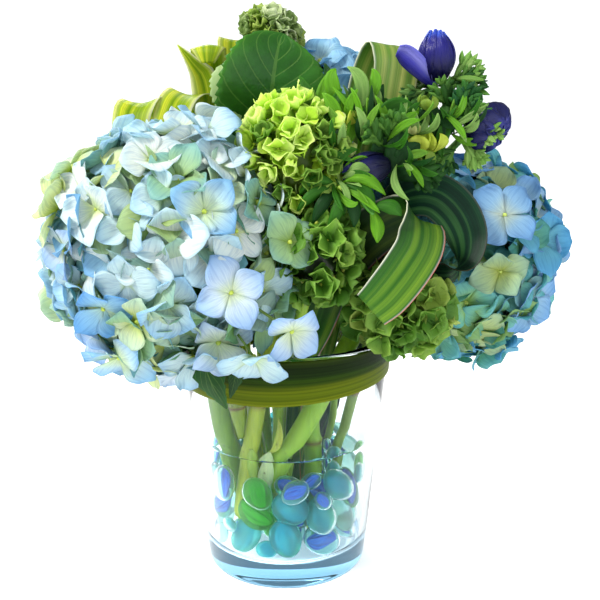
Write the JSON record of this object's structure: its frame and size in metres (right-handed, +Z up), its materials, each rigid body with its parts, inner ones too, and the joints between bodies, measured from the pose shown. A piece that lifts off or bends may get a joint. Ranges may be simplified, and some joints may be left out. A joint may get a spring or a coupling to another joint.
{
  "type": "hydrangeas in a vase",
  "caption": "Cut hydrangea heads, closed anemones and looped striped leaf blades in a flared clear glass vase with water, glass gems and a leaf band under the rim.",
  "frame": {"origin": "centre of the vase's flat underside, where it rests", "axes": "+X to the arrangement's right as it is faced, +Y to its back, +Z up along the vase's axis"},
  "size_m": [0.2941, 0.2032, 0.3241],
  "materials": {
    "vase_glass": "clear smooth glass with a thick polished base",
    "water": "clear still water",
    "leaf_band": "dark green blade with yellow-green stripes, waxy",
    "stem": "pale green plant stem, smooth with brown nodes and specks",
    "striped_blade": "green blade with lengthwise yellow-green stripes, semi-gloss",
    "anemone_green": "green stem with finely cut leaves, matt",
    "anemone_petal": "deep violet-blue petals, satin",
    "hydrangea_leaf": "veined green leaf with a toothed edge, satin",
    "foliage": "bright green leaflets, satin",
    "lime_petal": "lime green petals, thin and matt",
    "pale_blue_petal": "white petals shading to pale blue edges, thin and matt",
    "teal_blue_petal": "periwinkle and teal petals with green centres, thin and matt",
    "gem_blue": "clear glass with a cobalt blue swirl, smooth",
    "gem_teal": "turquoise glass, milky and smooth",
    "gem_clear": "milky clear glass, frosted",
    "gem_green": "green glass, milky and smooth"
  },
  "bodies": {
    "root": {"vase": "vase_glass", "water": "water", "leaf_band": "leaf_band", "hydrangea_left_stem": "stem", "hydrangea_right_stem": "stem", "hydrangea_back_stem": "stem", "green_upper_stem": "stem", "green_lower_stem": "stem", "green_right_stem": "stem", "green_top_stem": "stem", "leaf_loop_front": "striped_blade", "leaf_loop_right": "striped_blade", "leaf_loop_top": "striped_blade", "leaf_loop_left_outer": "striped_blade", "leaf_loop_left_inner": "striped_blade", "leaf_loop_left_top": "striped_blade", "leaf_blade_left": "striped_blade", "anemone_top_stem": "anemone_green", "anemone_top_flower": "anemone_petal", "anemone_right_stem": "anemone_green", "anemone_right_flower": "anemone_petal", "anemone_centre_stem": "anemone_green", "anemone_centre_flower": "anemone_petal", "hydrangea_leaf_top": "hydrangea_leaf", "hydrangea_leaf_side": "hydrangea_leaf", "hydrangea_leaf_rim": "hydrangea_leaf", "foliage_centre": "foliage", "foliage_front": "foliage", "green_upper_head": "lime_petal", "green_lower_head": "lime_petal", "green_right_head": "lime_petal", "green_top_head": "lime_petal", "hydrangea_left_head": "pale_blue_petal", "hydrangea_right_head": "teal_blue_petal", "hydrangea_back_head": "teal_blue_petal", "glass_gem_01": "gem_blue", "glass_gem_02": "gem_teal", "glass_gem_03": "gem_clear", "glass_gem_04": "gem_blue", "glass_gem_05": "gem_green", "glass_gem_06": "gem_teal", "glass_gem_07": "gem_blue", "glass_gem_08": "gem_teal", "glass_gem_09": "gem_clear", "glass_gem_10": "gem_blue", "glass_gem_11": "gem_green", "glass_gem_12": "gem_teal", "glass_gem_13": "gem_blue", "glass_gem_14": "gem_teal", "glass_gem_15": "gem_clear", "glass_gem_16": "gem_blue", "glass_gem_17": "gem_green", "glass_gem_18": "gem_teal", "glass_gem_19": "gem_blue", "glass_gem_20": "gem_teal", "glass_gem_21": "gem_clear", "glass_gem_22": "gem_blue", "glass_gem_23": "gem_green", "glass_gem_24": "gem_teal"}
  },
  "joints": []
}
